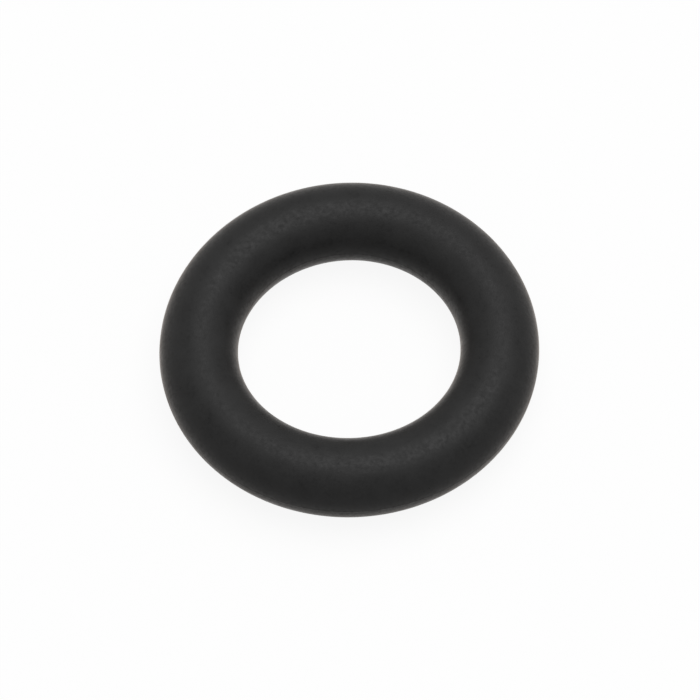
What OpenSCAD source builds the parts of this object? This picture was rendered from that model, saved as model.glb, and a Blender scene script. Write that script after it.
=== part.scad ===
// Rubber o-ring of round section, moulded in one piece and lying flat.
// The origin is the ring's centre, on the plane where the two mould halves met, and +Z is its axis.
// All lengths are in millimetres.

/* [Ring] */
// Inside diameter of the ring, across the hole
inside_d = 15.24; // [6:0.01:60]
// Diameter of the round section
section_d = 5.33; // [2:0.01:12]

/* [Mould parting line] */
// Height of the trimmed flash, measured along the ring's axis
flash_height = 0.12; // [0.05:0.01:0.5]
// How far the trimmed flash stands proud of the round section
flash_proud = 0.03; // [0.01:0.01:0.15]

/* [Hidden] */
// Rubber colour
rubber_colour = "#232325";
// Facets that a circle is previewed with
$fn = 240;
// Radius from the ring's axis to the middle of its section
section_centre_r = (inside_d + section_d) / 2;
// Width of the flash from its inner edge, through the section, to its outer edge
flash_span = section_d + 2 * flash_proud;

// Section of the ring: a full round, with a trace of flash where the mould halves met
module ring_section() {
    circle(d = section_d);
    square([flash_span, flash_height], center = true);
}

// The whole ring: its section carried once round the axis
module o_ring() {
    color(rubber_colour)
        rotate_extrude()
            translate([section_centre_r, 0])
                ring_section();
}

o_ring();
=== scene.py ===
"""A rubber o-ring: one moulded ring of round section, lying flat under soft studio light."""

import math

import bpy
import numpy as np
from mathutils import Matrix, Vector


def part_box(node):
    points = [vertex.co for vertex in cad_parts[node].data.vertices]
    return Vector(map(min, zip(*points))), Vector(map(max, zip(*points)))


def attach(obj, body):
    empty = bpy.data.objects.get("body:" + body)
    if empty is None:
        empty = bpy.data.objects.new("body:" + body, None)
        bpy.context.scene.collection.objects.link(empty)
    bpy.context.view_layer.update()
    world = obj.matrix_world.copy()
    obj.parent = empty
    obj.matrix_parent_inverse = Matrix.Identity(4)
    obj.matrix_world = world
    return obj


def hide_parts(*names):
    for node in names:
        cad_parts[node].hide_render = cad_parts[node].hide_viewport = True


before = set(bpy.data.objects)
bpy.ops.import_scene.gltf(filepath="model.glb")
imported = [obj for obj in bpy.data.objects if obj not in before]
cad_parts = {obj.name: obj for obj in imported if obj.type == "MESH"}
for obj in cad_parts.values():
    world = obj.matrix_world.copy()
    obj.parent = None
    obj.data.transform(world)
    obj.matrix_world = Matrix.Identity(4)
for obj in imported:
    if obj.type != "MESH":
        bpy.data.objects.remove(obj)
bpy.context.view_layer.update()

# One millimetre, in the metres that this scene is built in
MM = 0.001

# The trimmed flash that the mould's parting line leaves, as in the solid
FLASH_PROUD = 0.03 * MM
FLASH_HEIGHT = 0.12 * MM

# The ring's own sizes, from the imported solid
low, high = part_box("o_ring")
SECTION_R = (high.z - low.z) / 2
RING_R = high.x - FLASH_PROUD - SECTION_R

# How far the section's radius is moulded over its stock size, well inside what such rings are allowed
SECTION_OVER = 0.02 * MM
FLOOR_Z = low.z - SECTION_OVER

# How much of the flash tumbling leaves on the real ring, next to the square land of the solid
FLASH_LEFT = 0.25

# The least of what is left, the fullest place being 1, and the waves that it rises and falls in
FLASH_LEAST = 0.65
FLASH_WAVES = (5, 8, 13, 19, 31, 47, 73, 110)
FLASH_SEED = 7

# How far a soft ring lies out of round, in how many gentle lobes, and where the first lobe is
OUT_OF_ROUND = 0.033 * MM
LOBES = 3
FIRST_LOBE = math.radians(80.4)

# Steps of the mesh round the ring and round its section, and how much they crowd at the parting line
STEPS_AROUND = 630
STEPS_ACROSS = 152
CROWDING = 0.44

# The mould's grain, across and deep, and the slow patches of bloom on the rubber's skin
GRAIN_PITCH = 0.28 * MM
GRAIN_DEPTH = 0.008 * MM
PATCH_PITCH = 1.6 * MM

# How many finer steps each of these two noises has, and how strong each step is next to the one before
NOISE_STEPS = 3.0
GRAIN_FINENESS = 0.65
PATCH_FINENESS = 0.55

# Where the grain's gloss starts to even out and where it is even, 0 being square on and 1 edge on
FADE_STARTS = 0.45
FADE_ENDS = 0.9

# What it evens out to: the grain runs about 0.5, and less is glossier, as any matt skin is edge on
GRAIN_EDGE_ON = 0.33

# The skin's roughness on the whole, how far grain and patches change it, and what the parting line adds
ROUGH = 0.5
ROUGH_GRAIN = 0.9
ROUGH_PATCHES = 0.25
ROUGH_LINE = 0.08

# The skin's black where it is bare and under bloom, and where the noise goes from one to the other
BARE_BLACK = "#141414"
BLOOMED_BLACK = "#232323"
BARE_AT = 0.35
BLOOMED_AT = 0.65

# The gloss that is left under bloom, as an IOR, and the bloom's own sheen, which shows edge on
SKIN_IOR = 1.26
SHEEN = 0.2
SHEEN_ROUGH = 0.3
SHEEN_TINT = "#ffdebe"

# Brightness of the tent of light all round and of the softbox over the ring, 1 being white
TENT_LIGHT = 0.28
SOFTBOX_LIGHT = 2.9

# The softbox: its place as angles off straight up and round from +X, the half angle it fills, its height
SOFTBOX_LEAN = math.radians(12)
SOFTBOX_BEARING = math.radians(45)
SOFTBOX_HALF_ANGLE = math.radians(30)
SOFTBOX_HEIGHT = 1.0

# The card under the ring: its white, and half its width
CARD_WHITE = "#e6e6e6"
FLOOR_HALF = 1.0

# The white that shows behind the ring, and the part of it that is lit from above and so takes a shadow
GROUND_WHITE = 0.991
GROUND_LIT = 0.08
WHITE = (1, 1, 1, 1)

# The photograph in pixels: its width, the ring's middle in it, and the radius of the ring's centre line
PICTURE_PX = 700
RING_AT_PX = Vector((349.39, 348.63))
RING_R_PX = 150.58

# Where it was taken from: the angle over the ring's plane, the picture's turn, and how many radii away
CAMERA_ELEVATION = math.radians(58.26)
CAMERA_ROLL = math.radians(2.50)
CAMERA_RADII = 50

# The camera's film width in its own millimetres, and how far it sees
FILM_WIDTH = 36
CAMERA_REACH = 10


def srgb(colour):
    """The linear RGBA of an sRGB colour written as #rrggbb.

    Each part, from 0 to 1, is over 12.92 where it is dark, and else ((part + 0.055) / 1.055)^2.4.
    """
    parts = [int(colour[i : i + 2], 16) / 255 for i in (1, 3, 5)]
    return [p / 12.92 if p <= 0.04045 else ((p + 0.055) / 1.055) ** 2.4 for p in parts] + [1.0]


def flash_line(angle):
    """How much of the flash is left after trimming, up to 1, at each angle round the ring.

    A constant plus a sum of sines of the angle, each with a whole number of waves round the ring
    and a seeded phase, scaled so that the least is FLASH_LEAST and the fullest is 1.
    """
    draw = np.random.default_rng(FLASH_SEED)
    phases = draw.uniform(0, 2 * np.pi, len(FLASH_WAVES))
    ripple = np.sin(np.outer(angle, FLASH_WAVES) + phases).sum(axis=1)
    ripple = (ripple - ripple.min()) / (ripple.max() - ripple.min())
    return FLASH_LEAST + (1 - FLASH_LEAST) * ripple


def ring_surface(around, across):
    """Points of the ring on a grid of around by across, and the height of the flash's ridge at each.

    With u the angle round the ring and v the angle round its section, a point is
    ((c + s cos v) cos u, (c + s cos v) sin u, s sin v). The centre line's radius c is RING_R plus
    lobes of OUT_OF_ROUND. The section's radius s is SECTION_R plus SECTION_OVER plus a low ridge of
    flash where v is 0 or half a turn, exp(-(z / half its height)^2) in profile. The angles v crowd
    towards the ridge: v = t - CROWDING sin 2t for even steps of t.
    """
    u = np.linspace(0, 2 * np.pi, around, endpoint=False)
    t = np.linspace(0, 2 * np.pi, across, endpoint=False)
    v = t - CROWDING * np.sin(2 * t)
    centre = RING_R + OUT_OF_ROUND * np.cos(LOBES * (u - FIRST_LOBE))
    ridge = np.exp(-((SECTION_R * np.sin(v) / (FLASH_HEIGHT / 2)) ** 2))
    section = SECTION_R + SECTION_OVER + FLASH_LEFT * FLASH_PROUD * np.outer(flash_line(u), ridge)
    reach = centre[:, None] + section * np.cos(v)
    x = reach * np.cos(u)[:, None]
    y = reach * np.sin(u)[:, None]
    z = section * np.sin(v)
    return np.stack([x, y, z], axis=-1), np.broadcast_to(ridge, x.shape)


def closed_grid(name, points):
    """A smooth mesh over a grid of points that closes on itself both ways.

    Each quad joins a point to the next one round, the next one across and the one between them.
    """
    around, across = points.shape[:2]
    row = np.arange(around)[:, None] * across
    next_row = np.roll(row, -1, axis=0)
    column = np.arange(across)[None, :]
    next_column = np.roll(column, -1, axis=1)
    corners = [row + column, next_row + column, next_row + next_column, row + next_column]
    quads = np.stack(corners, axis=-1).reshape(-1, 4)
    mesh = bpy.data.meshes.new(name)
    mesh.from_pydata(points.reshape(-1, 3), [], quads)
    mesh.shade_smooth()
    mesh.update()
    return mesh


def add_object(name, data):
    """An object of a name that shows a mesh, a camera or a lamp."""
    thing = bpy.data.objects.new(name, data)
    bpy.context.collection.objects.link(thing)
    return thing


def add_node(owner, kind, inputs, **settings):
    """A node of a kind, with its settings, and with each input set to a value or fed by an output."""
    node = owner.node_tree.nodes.new(kind)
    for name, value in settings.items():
        setattr(node, name, value)
    for name, value in inputs.items():
        if isinstance(value, bpy.types.NodeSocket):
            owner.node_tree.links.new(value, node.inputs[name])
        else:
            node.inputs[name].default_value = value
    return node


def without_nodes(owner):
    """A new material or world, made ready for its own nodes."""
    owner.use_nodes = True
    owner.node_tree.nodes.clear()
    return owner


def shown_white(owner):
    """1 where the camera, a reflection or a view through glass meets the white, and 0 for other light."""
    path = add_node(owner, "ShaderNodeLightPath", {})
    straight = path.outputs["Is Camera Ray"]
    mirrored = path.outputs["Is Glossy Ray"]
    through = path.outputs["Is Transmission Ray"]
    either = add_node(owner, "ShaderNodeMath", {0: straight, 1: mirrored}, operation="MAXIMUM")
    any_of_them = add_node(
        owner,
        "ShaderNodeMath",
        {0: either.outputs[0], 1: through},
        operation="MAXIMUM",
    )
    return any_of_them.outputs[0]


def nitrile_rubber():
    """Nitrile rubber filled with carbon black, pressed in a mould whose walls were blasted matt.

    It looks near black, with a broad dull highlight that breaks up into fine grain. A trace of bloom,
    the wax that rubber sweats out, mottles it, weakens its gloss (smooth rubber has an IOR of 1.52) and
    makes it a little paler and warmer where it is seen edge on.
    """
    material = without_nodes(bpy.data.materials.new("moulded_nitrile_rubber"))
    place = add_node(material, "ShaderNodeTexCoord", {}).outputs["Object"]
    line = add_node(material, "ShaderNodeAttribute", {}, attribute_name="parting_line").outputs["Fac"]
    # Blasting leaves pits of about 0.05 mm, which the picture can't show, so they are drawn coarser
    grain = add_node(
        material,
        "ShaderNodeTexNoise",
        {"Vector": place, "Scale": 1 / GRAIN_PITCH, "Detail": NOISE_STEPS, "Roughness": GRAIN_FINENESS},
    ).outputs["Fac"]
    # The slow unevenness of the bloom, over a few millimetres
    patches = add_node(
        material,
        "ShaderNodeTexNoise",
        {"Vector": place, "Scale": 1 / PATCH_PITCH, "Detail": NOISE_STEPS, "Roughness": PATCH_FINENESS},
    ).outputs["Fac"]
    bump = add_node(material, "ShaderNodeBump", {"Height": grain, "Distance": GRAIN_DEPTH})
    # Real pits are too fine to show edge on, so the gloss of the coarser grain evens out there
    facing = add_node(material, "ShaderNodeLayerWeight", {}).outputs["Facing"]
    fade = add_node(
        material,
        "ShaderNodeMapRange",
        {"Value": facing, "From Min": FADE_STARTS, "From Max": FADE_ENDS, "To Min": 1.0, "To Max": 0.0},
    ).outputs["Result"]
    shown_grain = add_node(material, "ShaderNodeMix", {0: fade, 2: GRAIN_EDGE_ON, 3: grain}).outputs[0]
    # Both noises run about 0.5, so half of each change is taken off first
    level = ROUGH - ROUGH_GRAIN / 2 - ROUGH_PATCHES / 2
    dull = add_node(
        material,
        "ShaderNodeMath",
        {0: patches, 1: ROUGH_PATCHES, 2: level},
        operation="MULTIPLY_ADD",
    )
    # Dull and shiny specks side by side make the highlight grainy
    speckled = add_node(
        material,
        "ShaderNodeMath",
        {0: shown_grain, 1: ROUGH_GRAIN, 2: dull.outputs[0]},
        operation="MULTIPLY_ADD",
    )
    duller = add_node(
        material,
        "ShaderNodeMath",
        {0: line, 1: ROUGH_LINE, 2: speckled.outputs[0]},
        operation="MULTIPLY_ADD",
    )
    # Bloom lies in fine specks within the slow patches
    bloom = add_node(material, "ShaderNodeMath", {0: grain, 1: patches}, operation="ADD")
    average = add_node(material, "ShaderNodeMath", {0: bloom.outputs[0], 1: 0.5}, operation="MULTIPLY")
    shade = add_node(material, "ShaderNodeValToRGB", {"Fac": average.outputs[0]})
    bare, bloomed = shade.color_ramp.elements
    bare.position = BARE_AT
    bare.color = srgb(BARE_BLACK)
    bloomed.position = BLOOMED_AT
    bloomed.color = srgb(BLOOMED_BLACK)
    skin = add_node(
        material,
        "ShaderNodeBsdfPrincipled",
        {
            "Base Color": shade.outputs["Color"],
            "Roughness": duller.outputs[0],
            "IOR": SKIN_IOR,
            "Sheen Weight": SHEEN,
            "Sheen Roughness": SHEEN_ROUGH,
            "Sheen Tint": srgb(SHEEN_TINT),
            "Normal": bump.outputs["Normal"],
        },
    )
    add_node(material, "ShaderNodeOutputMaterial", {"Surface": skin.outputs["BSDF"]})
    return material


def add_ring():
    """The moulded ring, in place of the plain solid."""
    points, ridge = ring_surface(STEPS_AROUND, STEPS_ACROSS)
    mesh = closed_grid("moulded_ring", points)
    line = mesh.attributes.new("parting_line", "FLOAT", "POINT")
    line.data.foreach_set("value", ridge.reshape(-1).astype(np.float32))
    mesh.materials.append(nitrile_rubber())
    ring = add_object("moulded_ring", mesh)
    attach(ring, "root")
    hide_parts("o_ring")


def white_card():
    """Matt white card, which shows as the plain white ground with the ring's soft shadow on it.

    Its light on the ring is that of a card. What the camera sees is a part that is lit from above, and
    a glow that brings it up to GROUND_WHITE where nothing shades it. There the tent lights it at
    TENT_LIGHT, and the softbox at its brightness times sin^2 of its half angle and cos of its lean.
    """
    material = without_nodes(bpy.data.materials.new("white_card"))
    card = add_node(material, "ShaderNodeBsdfDiffuse", {"Color": srgb(CARD_WHITE)})
    open_light = TENT_LIGHT + SOFTBOX_LIGHT * math.sin(SOFTBOX_HALF_ANGLE) ** 2 * math.cos(SOFTBOX_LEAN)
    glow = GROUND_WHITE - GROUND_LIT * open_light
    lit = add_node(material, "ShaderNodeBsdfDiffuse", {"Color": (GROUND_LIT, GROUND_LIT, GROUND_LIT, 1)})
    rest = add_node(material, "ShaderNodeEmission", {"Color": WHITE, "Strength": glow})
    ground = add_node(material, "ShaderNodeAddShader", {0: lit.outputs[0], 1: rest.outputs[0]})
    shown = shown_white(material)
    both = add_node(material, "ShaderNodeMixShader", {0: shown, 1: card.outputs[0], 2: ground.outputs[0]})
    add_node(material, "ShaderNodeOutputMaterial", {"Surface": both.outputs[0]})
    return material


def add_floor():
    """The plain white floor that the ring lies on."""
    sides = ((-1, -1), (1, -1), (1, 1), (-1, 1))
    corners = [(x * FLOOR_HALF, y * FLOOR_HALF, FLOOR_Z) for x, y in sides]
    mesh = bpy.data.meshes.new("floor")
    mesh.from_pydata(corners, [], [(0, 1, 2, 3)])
    mesh.materials.append(white_card())
    floor = add_object("floor", mesh)


def add_camera():
    """The photograph's viewpoint: above the front of the ring, with the picture turned a little.

    Its right and up are those of a level camera, turned by the roll. It aims past the ring's middle by
    as much as the ring is off the picture's middle. Its lens is the film's width times its distance
    times the picture's scale, over the picture's width.
    """
    back = Vector((0, -math.cos(CAMERA_ELEVATION), math.sin(CAMERA_ELEVATION)))
    level = Vector((1, 0, 0))
    upward = back.cross(level)
    right = math.cos(CAMERA_ROLL) * level - math.sin(CAMERA_ROLL) * upward
    up = math.sin(CAMERA_ROLL) * level + math.cos(CAMERA_ROLL) * upward
    distance = CAMERA_RADII * RING_R
    scale_px = RING_R_PX / RING_R
    miss = RING_AT_PX - Vector((PICTURE_PX / 2, PICTURE_PX / 2))
    target = (-miss.x * right + miss.y * up) / scale_px
    camera = add_object("camera", bpy.data.cameras.new("camera"))
    camera.data.sensor_width = FILM_WIDTH
    camera.data.lens = scale_px * distance * FILM_WIDTH / PICTURE_PX
    camera.data.clip_end = CAMERA_REACH
    turn = Matrix((right, up, back)).transposed().to_4x4()
    camera.matrix_world = Matrix.Translation(target + back * distance) @ turn
    bpy.context.scene.camera = camera


def add_tent():
    """White light from all round, which shows as the same white as the ground."""
    world = without_nodes(bpy.data.worlds.new("studio_tent"))
    bpy.context.scene.world = world
    tent = add_node(world, "ShaderNodeBackground", {"Color": WHITE, "Strength": TENT_LIGHT})
    ground = add_node(world, "ShaderNodeBackground", {"Color": WHITE, "Strength": GROUND_WHITE})
    shown = shown_white(world)
    both = add_node(world, "ShaderNodeMixShader", {0: shown, 1: tent.outputs[0], 2: ground.outputs[0]})
    add_node(world, "ShaderNodeOutputWorld", {"Surface": both.outputs[0]})


def add_softbox():
    """A round softbox over the ring, a little behind it and to its right, facing it.

    Its radius r is its height times the tangent of its half angle. A disc lamp of radius r and
    brightness L gives off a power of pi L times its area, pi r squared.
    """
    radius = SOFTBOX_HEIGHT * math.tan(SOFTBOX_HALF_ANGLE)
    sideways = math.sin(SOFTBOX_LEAN)
    away = Vector(
        (sideways * math.cos(SOFTBOX_BEARING), sideways * math.sin(SOFTBOX_BEARING), math.cos(SOFTBOX_LEAN))
    )
    lamp = bpy.data.lights.new("softbox", "AREA")
    lamp.shape = "DISK"
    lamp.size = 2 * radius
    lamp.energy = math.pi * SOFTBOX_LIGHT * math.pi * radius**2
    softbox = add_object("softbox", lamp)
    softbox.location = SOFTBOX_HEIGHT * away
    softbox.rotation_euler = away.to_track_quat("Z", "Y").to_euler()


add_camera()
add_ring()
add_floor()
add_tent()
add_softbox()
bpy.context.scene.view_settings.view_transform = "Standard"
